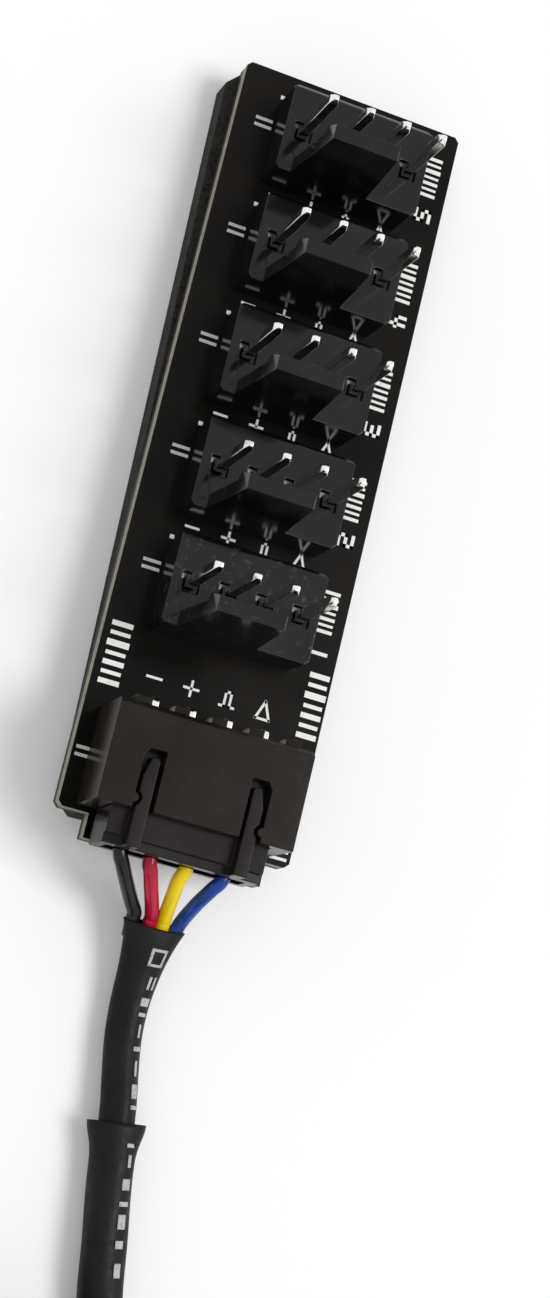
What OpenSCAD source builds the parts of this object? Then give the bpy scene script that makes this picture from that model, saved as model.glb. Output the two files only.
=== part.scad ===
// Fan power splitter: a slim board with five four-way outlets in a row, its input
// connector, and a sleeved four-wire cable that ends in a power plug and a fan plug.
// Millimetres. X runs across the board, Y runs along it away from the cable, Z is up.
// The part stands on the underside of its foam pad, at the middle of the board with its tongue.

/* [Foam pad] */
// Thickness of the sticky foam pad under the board
pad_t = 2.2; // [1.8:0.1:4]
// How far the pad's sides stand in from the board's sides
pad_inset = 0.1; // [0:0.05:0.5]
// Size of the cut corners of the pad
pad_corner = 1.0; // [0.4:0.1:2.5]
// How far the pad is stuck on to the left of the board's middle
pad_shift = 0.24; // [0:0.02:0.4]
// Turn of the pad, which is stuck on by hand, in degrees
pad_turn = 1.6; // [0:0.1:2]
// Depth of the pockets in the foam for the solder tails
pocket_depth = 1.4; // [1.3:0.1:1.6]
// Room in a pocket around its solder joints
pocket_room = 0.3; // [0.1:0.1:0.6]

/* [Board] */
// Width of the circuit board
board_w = 15.8; // [14.5:0.1:20]
// Thickness of the circuit board
board_t = 1.6; // [1:0.1:2]
// Size of the board's cut corners
board_corner = 0.3; // [0.1:0.1:1]
// Length of the tongue that stands out of the front edge
tongue_l = 1.6; // [1:0.1:2.4]
// Width of the tongue
tongue_w = 12.1; // [9:0.1:12.4]
// Place of the tongue's middle across the board
tongue_x = 0.25; // [-0.5:0.05:0.5]
// Radius of the break-off half holes along the tongue's end
bite_r = 0.28; // [0.15:0.01:0.4]
// Spacing of the break-off half holes
bite_pitch = 2.35; // [1.8:0.05:2.7]
// Board left behind the last outlet's pin row
rear_margin = 5.1; // [4.2:0.1:10]

/* [Pins] */
// Side of the square pins
pin_w = 0.64; // [0.5:0.01:0.7]
// Length of the tapered pin tip
pin_taper = 0.6; // [0.3:0.1:1]
// How far the tails reach below the board
tail_l = 1.0; // [0.8:0.1:1.1]
// Play of a pin in its hole
pin_play = 0.03; // [0.02:0.01:0.06]
// Radius of a solder joint at the board
solder_r = 0.9; // [0.75:0.05:1]
// Height of a solder joint
solder_h = 0.75; // [0.4:0.05:0.8]

/* [Outlets] */
// Distance of the first outlet's pin row from the board's front edge
first_row = 15.5; // [14.5:0.1:20]
// Spacing of the outlets along the board
outlet_pitch = 7.92; // [7.2:0.02:12]
// Spacing of the pins of an outlet
way_pitch = 2.54; // [2.4:0.01:2.6]
// Height of the outlet pins above the board
outlet_pin_h = 10; // [8.6:0.1:12]
// Length of an outlet's base along its pin row
base_l = 10.16; // [9.6:0.01:11]
// Depth of the base in front of the pin row
base_front = 2.95; // [2.6:0.05:3.2]
// Depth of the base behind the pin row
base_back = 3.3; // [2.6:0.05:3.6]
// Height of the base
base_h = 3.3; // [2.5:0.1:4]
// Chamfer of the base's edges
base_edge = 0.3; // [0.1:0.05:0.5]
// Width of the sunk square around each pin
sink_w = 1.3; // [1:0.05:1.6]
// Depth of the sunk square
sink_d = 0.45; // [0.2:0.05:0.8]
// Height of the locking wall above the board
wall_h = 10.5; // [9:0.1:12]
// Thickness of the locking wall
wall_t = 1.0; // [0.7:0.05:1.2]
// Width of the locking wall at its foot
wall_foot = 5.5; // [4.8:0.1:6]
// Width of the locking wall at its top
wall_top = 4.5; // [3.5:0.1:5]
// How far the catch stands in from the locking wall
catch_d = 0.45; // [0.2:0.05:0.6]
// Height of the sloping catch
catch_h = 2.2; // [1.2:0.1:2.6]

/* [Input socket] */
// Place of the input socket's middle across the board
in_x = -0.3; // [-0.4:0.05:0.4]
// Width of the input socket
in_w = 13.0; // [12.6:0.1:13.4]
// Length of the input socket from back to mouth
in_l = 6.5; // [6:0.1:7.5]
// Height of the input socket above the board
in_h = 5.7; // [5.3:0.1:6.5]
// How far the mouth stands in from the board's front edge
in_setback = 0.3; // [0:0.05:0.8]
// Thickness of the socket's side walls
in_side = 1.15; // [0.9:0.05:1.3]
// Thickness of the socket's roof
in_roof = 0.95; // [0.8:0.05:1.1]
// Thickness of the socket's floor
in_floor = 0.8; // [0.6:0.05:1]
// Thickness of the socket's back wall
in_back = 1.1; // [0.8:0.05:1.4]
// Spacing of the input pins
in_pitch = 2.5; // [2.4:0.01:2.54]
// Height of the input pins above the board
in_pin_z = 2.4; // [2.2:0.1:2.8]
// Distance of the bent pin legs behind the back wall
leg_gap = 0.75; // [0.6:0.05:0.9]
// Depth of the ribs between the bent legs
in_rib = 0.45; // [0.2:0.05:0.8]
// Width of the notch at each bent leg
leg_notch = 1.5; // [1:0.1:1.8]
// Chamfer of the socket's rear edge
in_edge = 0.3; // [0.1:0.1:0.6]
// Width of the two key slots in the roof
slot_w = 1.4; // [1.2:0.05:1.6]
// Length of the key slots
slot_l = 3.85; // [3:0.05:4.2]
// Distance of the key slots from the socket's middle
slot_x = 3.55; // [3.2:0.05:3.7]
// Corner cut at the outer far corner of each key slot
slot_cut = 0.3; // [0.1:0.05:0.5]
// Radius of the round catch on the outer side of each key slot
catch_r = 0.3; // [0.25:0.01:0.35]
// Distance of the catches from the socket's mouth
catch_y = 0.65; // [0.5:0.05:1.5]

/* [Input plug] */
// Play of the plug in the socket on each side
plug_play = 0.1; // [0.05:0.01:0.15]
// How far the plug stands out of the mouth
plug_out = 2.35; // [2:0.05:4]
// How far the plug's nose stays from the back wall
plug_nose = 0.2; // [0.1:0.05:0.5]
// Width of the plug's two ribs
rib_w = 0.9; // [0.7:0.05:1]
// How far the ribs stop below the roof's top
rib_drop = 0.1; // [0:0.05:0.3]
// How far the ribs stop before the ends of the key slots
rib_short = 0.5; // [0.3:0.05:1.2]
// Width taken off the outer side of a rib at its tip
rib_taper = 0.35; // [0.1:0.05:0.4]
// Length of the tapered tip of a rib
rib_taper_l = 1.2; // [0.5:0.1:2]
// Play of a catch in the notch of its rib
catch_play = 0.2; // [0.1:0.02:0.3]
// Step down at the plug's wire end
plug_step = 0.35; // [0.2:0.05:0.6]
// Length of the stepped wire end
plug_step_l = 0.6; // [0.4:0.05:1]
// Side of the square cavity for each contact
cavity_w = 1.7; // [1.6:0.05:1.9]
// Side of the window for a contact's spring latch
latch_w = 1.0; // [0.6:0.1:1.2]
// Length of a contact's box
contact_l = 3.4; // [2.8:0.1:3.8]
// Play of a contact's box in its cavity
contact_play = 0.05; // [0.03:0.01:0.1]
// Wall of a contact
contact_wall = 0.25; // [0.2:0.01:0.3]
// Length of a contact's crimped barrel
barrel_l = 1.6; // [1.2:0.1:2]
// Wall of a crimped barrel
barrel_wall = 0.2; // [0.15:0.01:0.3]

/* [Cable] */
// Diameter of the four wires
wire_d = 0.95; // [0.8:0.05:1]
// Diameter of the first sleeve where it is round
sleeve_d = 2.35; // [2.2:0.05:2.6]
// Width of the first sleeve's flat mouth
mouth_w = 4.2; // [4:0.05:4.4]
// Height of the first sleeve's flat mouth
mouth_h = 1.7; // [1.4:0.05:1.9]
// Diameter of the cable jacket
jacket_d = 2.9; // [2.6:0.05:2.9]
// Width of the jacket's flared mouth
flare_w = 3.7; // [3.2:0.05:4]
// Radius of the coil at the middle of its turns
coil_r = 14.5; // [14.5:0.1:14.6]
// Part of the circle that the coil's solid covers
coil_sweep = 308; // [280:1:308]
// Thickness of the band that ties the coil
tie_t = 0.3; // [0.2:0.05:0.3]
// Width of the band that ties the coil
tie_w = 2.6; // [1.5:0.1:4]
// Side of the band's lock
tie_lock = 3.2; // [2:0.1:4]
// Thickness of the band's lock
tie_lock_t = 1.8; // [1:0.1:2.4]

/* [Power plug] */
// Spacing of the four ways
power_pitch = 5.08; // [5:0.01:5.1]
// Width inside the shroud
shroud_w = 20.2; // [19.6:0.1:20.6]
// Height inside the shroud
shroud_h = 8.0; // [7.4:0.1:8.4]
// Wall of the shroud
shroud_wall = 1.1; // [0.9:0.05:1.3]
// Depth of the shroud
shroud_depth = 12; // [10:0.5:14]
// Length of the block behind the shroud
power_block = 11; // [9:0.5:14]
// Corner cut inside the shroud that keys the plug
shroud_cut = 2.2; // [1.5:0.1:2.6]
// Diameter of the bores in the block
power_bore = 3.7; // [3.5:0.1:4]
// Diameter of the round power pins
power_pin_d = 2.1; // [1.9:0.05:2.3]
// Free length of the round power pins
power_pin_l = 9; // [7:0.5:9.5]
// Play of a pin's barrel in its bore
power_play = 0.1; // [0.05:0.01:0.15]
// Length of the slope from a power pin's barrel to its free part
power_slope = 0.6; // [0.4:0.1:1]
// Height of the grip ridges on the block's sides
grip_h = 0.5; // [0.3:0.1:0.8]
// Width of a grip ridge
grip_w = 0.8; // [0.5:0.1:1]
// Spacing of the grip ridges
grip_pitch = 1.8; // [1.4:0.1:2.2]

/* [Fan plug] */
// Width of the fan plug
fan_w = 10.2; // [9.8:0.1:10.6]
// Height of the fan plug
fan_h = 5.8; // [5.2:0.1:6.2]
// Length of the fan plug
fan_l = 12.4; // [11:0.1:13]
// Side of the square pin openings
fan_hole = 1.1; // [0.9:0.05:1.3]
// Side of the square cavities behind the openings
fan_cavity = 1.9; // [1.8:0.05:2]
// Thickness of the front wall with the openings
fan_front = 1.6; // [1:0.1:2.4]
// Width of the two guide ribs
guide_w = 1.0; // [0.6:0.1:1.4]
// Height of the two guide ribs
guide_h = 0.6; // [0.3:0.1:0.9]
// Chamfer of the fan plug's edges
fan_edge = 0.5; // [0.2:0.1:0.8]
// Length of the window for a contact's spring latch
fan_window = 2.8; // [2:0.1:3.4]

/* [Hidden] */
$fn = 32;

outlets = 5;
ways = 4;
tiny = 0.01; // overshoot of a cut past the face it opens

// Heights
board_z = pad_t;
top_z = pad_t + board_t;

// Lengths along the board, from the middle of the board with its tongue
board_l = first_row + (outlets - 1) * outlet_pitch + rear_margin;
front_y = -(board_l + tongue_l) / 2 + tongue_l;
rear_y = front_y + board_l;
tip_y = front_y - tongue_l;

function outlet_y(n) = front_y + first_row + (n - 1) * outlet_pitch;
function way_x(w, pitch) = (w - (ways + 1) / 2) * pitch;

// Input socket and plug
mouth_y = front_y + in_setback;
back_y = mouth_y + in_l;
leg_y = back_y + leg_gap;
room_w = in_w - 2 * in_side;
room_z = top_z + in_floor;
room_top = top_z + in_h - in_roof;
plug_w = room_w - 2 * plug_play;
plug_z = room_z + plug_play;
plug_top = room_top - plug_play;
plug_end = mouth_y - plug_out;
plug_front = back_y - in_back - plug_nose;
in_axis_z = top_z + in_pin_z;
barrel_d = wire_d + 2 * barrel_wall;
pin_tip_gap = 0.4; // air between a pin's tip and the end of its contact
contact_front = plug_front - 0.3;
contact_end = contact_front - contact_l;

// Holes and pins
hole_r = pin_w * sqrt(2) / 2 + pin_play;
socket_hole = pin_w + 2 * pin_play;

// Coil
coil_x = -8;
coil_y = -72.2;
coil_layers = 2;
climb_part = 0.77; // share of the coil's gap in which the cable climbs one layer

// Routes of the wires and the cable, chosen by hand
wire_black_route = [[-4, -27.4, 6.2], [-3.6, -28.2, 5.8], [-2.8, -29.1, 4.7], [-1.8, -29.9, 3.5],
    [-1.1, -30.5, 2.9], [-1.1, -30.9, 2.7]];
wire_red_route = [[-1.7, -27.4, 6.2], [-1.5, -28.2, 5.8], [-1, -29.1, 4.7], [-0.4, -29.9, 3.5],
    [-0.1, -30.5, 2.9], [-0.1, -30.9, 2.7]];
wire_yellow_route = [[0.75, -27.4, 6.2], [0.7, -28.2, 5.8], [0.8, -29.1, 4.7], [0.9, -29.9, 3.5],
    [0.9, -30.5, 2.9], [0.9, -30.9, 2.7]];
wire_blue_route = [[3.3, -27.4, 6.2], [3.1, -28.2, 5.8], [2.7, -29.1, 4.7], [2.2, -29.9, 3.5],
    [1.9, -30.5, 2.9], [1.9, -30.9, 2.7]];
sleeve_route = [[0.4, -31, 2.7], [0.4, -32.2, 2.3], [0.4, -34, 1.7], [0.4, -36, 1.3],
    [0.5, -38, 1.25], [0.8, -40, 1.3], [1.2, -42.2, 1.4], [1.4, -43.6, 1.45]];
near_route = [[1.4, -43.7, 1.45], [1.6, -45.1, 1.45], [1.8, -46.5, 1.45], [2.3, -50, 1.45],
    [3, -54, 1.45], [4.2, -58, 1.45], [5.7, -62, 1.5], [6.5, -65.5, 1.6], [6.6, -69, 1.7],
    [6.5, -72.1, 1.75]];
far_route = [[7.1, -75.2, 7.7], [8, -78.4, 7.5], [8.8, -81.6, 6], [8.9, -84.8, 3.6], [8, -87.8, 2],
    [6.4, -90.6, 1.5], [4.9, -93, 1.45], [4.5, -94.6, 1.45], [4.5, -95.6, 1.45]];
lead_black_route = [[4, -95.7, 0.95], [3.95, -96.4, 0.9], [3.3, -98, 0.6], [1.4, -99.8, 0.5],
    [-2.4, -101.6, 0.5], [-6.6, -103.8, 0.7], [-9.2, -107, 2], [-9.9, -110, 4.2]];
lead_red_route = [[4, -95.7, 1.95], [4, -96.4, 1.95], [3.6, -98.4, 1.7], [2.4, -101, 0.9],
    [0, -103.8, 0.6], [-2.8, -106.6, 1.2], [-4.4, -109, 2.8], [-4.8, -110.8, 4.4]];
lead_yellow_route = [[5, -95.7, 1.95], [5, -96.4, 1.95], [5.3, -98.4, 1.6], [6, -101, 0.9],
    [6.5, -104, 0.6], [6.5, -107, 0.8], [6.4, -109, 1.5], [6.3, -110.8, 2.5]];
lead_blue_route = [[5, -95.7, 0.95], [5.05, -96.4, 0.9], [5.8, -98, 0.6], [7.4, -100.4, 0.5],
    [8.8, -103.6, 0.5], [9.1, -107, 0.8], [9, -109, 1.5], [8.9, -110.8, 2.5]];

// Far plugs
plugs_y = -112.4;
power_z = shroud_wall + shroud_h / 2;
power_x = -10 - power_pitch / 2; // its second way stands opposite the black lead
power_w = shroud_w + 2 * shroud_wall;
power_front = plugs_y - power_block;
power_end = power_front - shroud_depth;
fan_x = 6.3 - way_pitch / 2; // its third way stands opposite the yellow lead
fan_end = plugs_y - fan_l;
lead_in = 1.0; // how far a lead runs into its plug
crimp_play = 0.05; // around a lead in its barrel

// Colours that more than one piece has
black = [0.07, 0.07, 0.075];
red = [0.75, 0.06, 0.1];
yellow = [0.95, 0.82, 0.08];
blue = [0.1, 0.2, 0.65];
pin_metal = [0.8, 0.78, 0.72];
contact_metal = [0.82, 0.76, 0.6];

// Swept tubes
function unit(v) = v / norm(v);
function heading(route, i) = unit(route[min(i + 1, len(route) - 1)] - route[max(i - 1, 0)]);
function across(route, i) = unit(cross(heading(route, i), [0, 0, 1]));
function over(route, i) = cross(across(route, i), heading(route, i));
function ring(route, i, half, sides) =
    [for (k = [0:sides - 1])
        let (a = 360 * (k + 0.5) / sides)
        route[i] + half[i][0] * cos(a) * across(route, i) + half[i][1] * sin(a) * over(route, i)];

// A closed tube along a route; half holds its half width and half height at each point
module swept(route, half, sides = 8) {
    rings = len(route);
    points = [for (i = [0:rings - 1]) each ring(route, i, half, sides)];
    skin = [for (i = [0:rings - 2], k = [0:sides - 1])
        let (a = i * sides + k, b = i * sides + (k + 1) % sides)
        each [[a, b, b + sides], [a, b + sides, a + sides]]];
    first = [for (k = [0:sides - 1]) sides - 1 - k];
    last = [for (k = [0:sides - 1]) (rings - 1) * sides + k];
    polyhedron(points, concat([first], skin, [last]));
}

module round_tube(route, d, sides = 8) {
    swept(route, [for (p = route) [d / 2, d / 2]], sides);
}

// A block with its middle at x, from y0 to y1 and z0 to z1
module slab(x, w, y0, y1, z0, z1) {
    translate([x - w / 2, min(y0, y1), z0]) cube([w, abs(y1 - y0), z1 - z0]);
}

// A profile in Y and Z, pushed along X around the middle x
module along_x(x, w) {
    translate([x - w / 2, 0, 0]) rotate([90, 0, 90]) linear_extrude(w) children();
}

// A profile in X and Z, pushed along Y from y0 towards +Y
module along_y(y0, l) {
    translate([0, y0 + l, 0]) rotate([90, 0, 0]) linear_extrude(l) children();
}

module cut_rect(w, l, c) {
    polygon([[-w / 2 + c, -l / 2], [w / 2 - c, -l / 2], [w / 2, -l / 2 + c], [w / 2, l / 2 - c],
        [w / 2 - c, l / 2], [-w / 2 + c, l / 2], [-w / 2, l / 2 - c], [-w / 2, -l / 2 + c]]);
}

// Places of the board

module at_outlet_pins() {
    for (n = [1:outlets], w = [1:ways]) translate([way_x(w, way_pitch), outlet_y(n), 0]) children();
}

module at_input_legs() {
    for (w = [1:ways]) translate([in_x + way_x(w, in_pitch), leg_y, 0]) children();
}

// Foam pad and board

module pocket(x, y, pitch) {
    reach = solder_r + pocket_room;
    translate([x, y, pad_t - pocket_depth])
        linear_extrude(pocket_depth + tiny)
            square([(ways - 1) * pitch + 2 * reach, 2 * reach], center = true);
}

module foam_pad() {
    color([0.13, 0.13, 0.135])
    difference() {
        translate([-pad_shift, (front_y + rear_y) / 2, 0])
            rotate(pad_turn) linear_extrude(pad_t)
                cut_rect(board_w - 2 * pad_inset, board_l - 2 * pad_inset, pad_corner);
        for (n = [1:outlets]) pocket(0, outlet_y(n), way_pitch);
        pocket(in_x, leg_y, in_pitch);
    }
}

module board_outline() {
    translate([0, (front_y + rear_y) / 2]) cut_rect(board_w, board_l, board_corner);
    translate([tongue_x - tongue_w / 2, tip_y]) square([tongue_w, tongue_l + board_corner]);
}

module board() {
    bites = floor((tongue_w / 2 - 1) / bite_pitch);
    color([0.17, 0.165, 0.16])
    difference() {
        translate([0, 0, board_z]) linear_extrude(board_t) board_outline();
        at_outlet_pins() translate([0, 0, board_z - 1]) cylinder(r = hole_r, h = board_t + 2);
        at_input_legs() translate([0, 0, board_z - 1]) cylinder(r = hole_r, h = board_t + 2);
        for (i = [-bites:bites])
            translate([tongue_x + i * bite_pitch, tip_y, board_z - 1])
                cylinder(r = bite_r, h = board_t + 2, $fn = 16);
    }
}

module solder_joint() {
    difference() {
        translate([0, 0, board_z - solder_h])
            cylinder(r1 = hole_r + 0.1, r2 = solder_r, h = solder_h, $fn = 16);
        translate([-pin_w / 2, -pin_w / 2, board_z - solder_h - 1]) cube([pin_w, pin_w, solder_h + 2]);
    }
}

module solder_joints() {
    color([0.72, 0.73, 0.74]) {
        at_outlet_pins() solder_joint();
        at_input_legs() solder_joint();
    }
}

// Outlets

module outlet_base() {
    depth = base_front + base_back;
    intersection() {
        translate([0, (base_back - base_front) / 2, top_z])
            linear_extrude(base_h) cut_rect(base_l, depth, base_edge);
        along_x(0, base_l)
            polygon([[-base_front, top_z], [base_back, top_z], [base_back, top_z + base_h - base_edge],
                [base_back - base_edge, top_z + base_h], [-base_front, top_z + base_h]]);
    }
}

// The locking wall narrows upwards, and its catch slopes in towards the pins
module outlet_wall() {
    foot = top_z + base_h;
    crown = top_z + wall_h;
    intersection() {
        along_y(-base_front, wall_t + catch_d)
            polygon([[-way_pitch / 2 - wall_foot / 2, foot - 1], [-way_pitch / 2 + wall_foot / 2, foot - 1],
                [-way_pitch / 2 + wall_foot / 2, foot], [-way_pitch / 2 + wall_top / 2, crown],
                [-way_pitch / 2 - wall_top / 2, crown], [-way_pitch / 2 - wall_foot / 2, foot]]);
        along_x(-way_pitch / 2, wall_foot + 1)
            polygon([[-base_front, foot - 1], [-base_front + wall_t, foot - 1],
                [-base_front + wall_t, crown - catch_h],
                [-base_front + wall_t + catch_d, crown - catch_h + catch_d],
                [-base_front + wall_t, crown], [-base_front, crown]]);
    }
}

module outlet_housing(n) {
    color([0.14, 0.14, 0.145])
    translate([0, outlet_y(n), 0])
        difference() {
            union() {
                outlet_base();
                outlet_wall();
            }
            for (w = [1:ways])
                translate([way_x(w, way_pitch), 0, top_z]) {
                    slab(0, socket_hole, -socket_hole / 2, socket_hole / 2, -1, base_h + 1);
                    slab(0, sink_w, -sink_w / 2, sink_w / 2, base_h - sink_d, base_h + 1);
                }
        }
}

// A square pin from its tail to its tapered tip
module square_pin(low, high) {
    translate([-pin_w / 2, -pin_w / 2, low]) cube([pin_w, pin_w, high - low - pin_taper]);
    translate([0, 0, high - pin_taper])
        rotate(45) cylinder(r1 = pin_w * sqrt(2) / 2, r2 = pin_w * sqrt(2) / 4, h = pin_taper, $fn = 4);
}

module outlet_pin(n, w) {
    color(pin_metal)
    translate([way_x(w, way_pitch), outlet_y(n), 0])
        square_pin(board_z - tail_l, top_z + outlet_pin_h);
}

// Input socket

// Places one shape at each key slot, with its own +X away from the socket's middle
module at_slots() {
    for (s = [-1, 1]) translate([in_x + s * slot_x, 0]) scale([s, 1, 1]) children();
}

module catch_outline(r) {
    translate([slot_w / 2, mouth_y + catch_y]) circle(r, $fn = 24);
}

// Each slot has a round catch on its outer side
module key_slots() {
    near = mouth_y - 1;
    far = mouth_y + slot_l;
    half = slot_w / 2;
    translate([0, 0, room_top - tiny])
        linear_extrude(in_roof + 1)
            at_slots()
                difference() {
                    polygon([[-half, near], [half, near], [half, far - slot_cut * 1.6],
                        [half - slot_cut, far], [-half, far]]);
                    catch_outline(catch_r);
                }
}

module input_socket() {
    color([0.15, 0.145, 0.145])
    difference() {
        union() {
            along_x(in_x, in_w)
                polygon([[mouth_y, top_z], [back_y, top_z], [back_y, top_z + in_h - in_edge],
                    [back_y - in_edge, top_z + in_h], [mouth_y, top_z + in_h]]);
            for (i = [0:ways])
                slab(in_x + (i - ways / 2) * in_pitch, in_pitch - leg_notch,
                    back_y - in_edge - tiny, back_y + in_rib, top_z, top_z + in_h - in_edge);
        }
        slab(in_x, room_w, mouth_y - 1, back_y - in_back, room_z, room_top);
        key_slots();
        for (w = [1:ways])
            slab(in_x + way_x(w, in_pitch), socket_hole, back_y - in_back - 1, back_y + 1,
                in_axis_z - socket_hole / 2, in_axis_z + socket_hole / 2);
    }
}

// A pin that runs out of the back wall and turns down through the board
module input_pin(w) {
    bend = pin_w * 0.5;
    tip = contact_end + contact_wall + pin_tip_gap;
    half = pin_w / 2;
    color(pin_metal)
    along_x(in_x + way_x(w, in_pitch), pin_w)
        polygon(concat(
            [[tip, in_axis_z - half / 2], [tip, in_axis_z + half / 2], [tip + pin_taper, in_axis_z + half]],
            [for (a = [90:-15:0])
                [leg_y + half - bend + bend * cos(a), in_axis_z + half - bend + bend * sin(a)]],
            [[leg_y + half, board_z - tail_l], [leg_y - half, board_z - tail_l],
                [leg_y - half, in_axis_z - half], [tip + pin_taper, in_axis_z - half]]));
}

// Input plug

// The ribs taper at their tips, and a notch in each holds the catch of its slot
module plug_ribs() {
    end = mouth_y + slot_l - rib_short;
    half = rib_w / 2;
    low = plug_top - plug_step - tiny;
    translate([0, 0, low])
        linear_extrude(top_z + in_h - rib_drop - low)
            at_slots()
                difference() {
                    polygon([[-half, plug_end], [half, plug_end], [half, end - rib_taper_l],
                        [half - rib_taper, end], [rib_taper / 2 - half, end],
                        [-half, end - rib_taper / 2]]);
                    catch_outline(catch_r + catch_play);
                }
}

module input_plug() {
    step_y = plug_end + plug_step_l;
    color([0.16, 0.155, 0.155])
    difference() {
        union() {
            along_x(in_x, plug_w)
                polygon([[plug_end, plug_z], [plug_front, plug_z], [plug_front, plug_top],
                    [step_y, plug_top], [step_y, plug_top - plug_step],
                    [plug_end, plug_top - plug_step]]);
            plug_ribs();
        }
        for (w = [1:ways])
            translate([in_x + way_x(w, in_pitch), 0, in_axis_z]) {
                slab(0, cavity_w, plug_end - 1, plug_front + 1, -cavity_w / 2, cavity_w / 2);
                // Window for the contact's spring latch, in the floor
                slab(0, latch_w, contact_end, contact_end + latch_w, plug_z - in_axis_z - 1, 0);
            }
    }
}

module contact(w) {
    outer = cavity_w - 2 * contact_play;
    inner = outer - 2 * contact_wall;
    color(contact_metal)
    translate([in_x + way_x(w, in_pitch), 0, in_axis_z])
        difference() {
            union() {
                slab(0, outer, contact_front, contact_end, -outer / 2, outer / 2);
                along_y(contact_end - barrel_l, barrel_l) circle(d = barrel_d);
            }
            slab(0, inner, plug_front + 1, contact_end + contact_wall, -inner / 2, inner / 2);
            along_y(contact_end - barrel_l - 1, barrel_l + 1) circle(d = wire_d);
        }
}

// Wires from the contacts to the first sleeve

module plug_wire(route, w) {
    x = in_x + way_x(w, in_pitch);
    barrel_end = contact_end - barrel_l - 0.2;
    round_tube(concat([[x, contact_end, in_axis_z], [x, barrel_end, in_axis_z]], route), wire_d);
}

module wire_black() { color(black) plug_wire(wire_black_route, 1); }
module wire_red() { color(red) plug_wire(wire_red_route, 2); }
module wire_yellow() { color(yellow) plug_wire(wire_yellow_route, 3); }
module wire_blue() { color(blue) plug_wire(wire_blue_route, 4); }

// The sleeve starts flat over the four wires side by side and draws in to a round tube
module first_sleeve() {
    count = len(sleeve_route);
    share = [for (i = [0:count - 1]) max(0, 1 - i / 4)];
    color([0.2, 0.2, 0.2])
    swept(sleeve_route, [for (s = share)
        [(sleeve_d + s * (mouth_w - sleeve_d)) / 2, (sleeve_d + s * (mouth_h - sleeve_d)) / 2]], 12);
}

module cable_near() {
    count = len(near_route);
    share = [for (i = [0:count - 1]) max(0, 1 - i / 2)];
    color([0.2, 0.2, 0.2])
    swept(near_route, [for (s = share) [(jacket_d + s * (flare_w - jacket_d)) / 2, jacket_d / 2]]);
}

// The closed outer shape of the coil's stacked turns
module cable_coil() {
    color([0.19, 0.19, 0.19])
    translate([coil_x, coil_y, tie_t])
        rotate(-coil_sweep) rotate_extrude(angle = coil_sweep, $fn = 72)
            translate([coil_r - jacket_d / 2, 0]) square([jacket_d, coil_layers * jacket_d]);
}

// A band round the coil's turns, with its lock on the outside
module coil_tie() {
    high = coil_layers * jacket_d;
    inner = coil_r - jacket_d / 2;
    sweep = tie_w / coil_r * 180 / PI;
    color([0.12, 0.12, 0.12])
    translate([coil_x, coil_y, 0])
        rotate(-150 - sweep / 2) {
            rotate_extrude(angle = sweep, $fn = 72)
                difference() {
                    translate([inner - tie_t, 0]) square([jacket_d + 2 * tie_t, high + 2 * tie_t]);
                    translate([inner, tie_t]) square([jacket_d, high]);
                }
            rotate(sweep / 2)
                translate([inner + jacket_d + tie_t / 2, -tie_lock / 2, tie_t + (high - tie_lock) / 2])
                    cube([tie_lock_t, tie_lock, tie_lock]);
        }
}

// The end of the cable climbs over the coil's first turn and comes down to the plugs
module cable_far() {
    climb = [for (part = [0.02, 0.12, 0.26, 0.4, 0.55, 0.7, 0.85, 1])
        let (a = (360 - coil_sweep) * (1 - part), lift = min(1, part / climb_part))
        [coil_x + coil_r * cos(a), coil_y + coil_r * sin(a),
            tie_t + jacket_d * (coil_layers - 0.5 + lift * lift * (3 - 2 * lift))]];
    color([0.2, 0.2, 0.2]) round_tube(concat(climb, far_route), jacket_d);
}

// A lead runs straight into its plug from the last point of its route
module plug_lead(route, x, z) {
    round_tube(concat(route, [[x, plugs_y + 0.5, z], [x, plugs_y - lead_in, z]]), wire_d);
}

module lead_black() { color(black) plug_lead(lead_black_route, power_way(2), power_z); }
module lead_red() { color(red) plug_lead(lead_red_route, power_way(1), power_z); }
module lead_yellow() { color(yellow) plug_lead(lead_yellow_route, fan_way(3), fan_h / 2); }
module lead_blue() { color(blue) plug_lead(lead_blue_route, fan_way(4), fan_h / 2); }

// Power plug: a shroud with two cut corners, and a block with four bores

function power_way(w) = power_x + (2.5 - w) * power_pitch;

module keyed_section(w, h, cut) {
    polygon([[-w / 2, -h / 2], [w / 2, -h / 2], [w / 2, h / 2 - cut], [w / 2 - cut, h / 2],
        [-w / 2 + cut, h / 2], [-w / 2, h / 2 - cut]]);
}

module power_plug() {
    color([0.17, 0.17, 0.175])
    difference() {
        union() {
            along_y(power_end, shroud_depth + power_block)
                translate([power_x, power_z])
                    keyed_section(power_w, shroud_h + 2 * shroud_wall, shroud_cut + shroud_wall * 0.6);
            for (s = [-1, 1], i = [0:2])
                translate([power_x + s * power_w / 2 - grip_h, plugs_y - (i + 1.5) * grip_pitch, power_z])
                    translate([0, 0, -shroud_h / 3]) cube([2 * grip_h, grip_w, shroud_h / 2]);
        }
        along_y(power_end - 1, shroud_depth + 1)
            translate([power_x, power_z]) keyed_section(shroud_w, shroud_h, shroud_cut);
        for (w = [1:ways])
            translate([power_way(w), plugs_y + 1, power_z])
                rotate([90, 0, 0]) cylinder(d = power_bore, h = power_block + 2);
    }
}

// A round pin with a domed tip, its barrel in the block and the wire crimped in it
module power_pin(w) {
    barrel = power_bore / 2 - power_play;
    tip = power_pin_d / 2;
    start = 0.8 - plugs_y;
    face = -power_front;
    color(pin_metal)
    translate([power_way(w), 0, power_z])
        rotate([90, 0, 0])
            difference() {
                rotate_extrude()
                    polygon(concat(
                        [[0, start], [barrel, start], [barrel, face - power_slope], [tip, face]],
                        [for (a = [0:15:90]) [tip * cos(a), face + power_pin_l - tip + tip * sin(a)]]));
                translate([0, 0, start - 1]) cylinder(d = wire_d + 2 * crimp_play, h = 2 + lead_in);
            }
}

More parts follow.
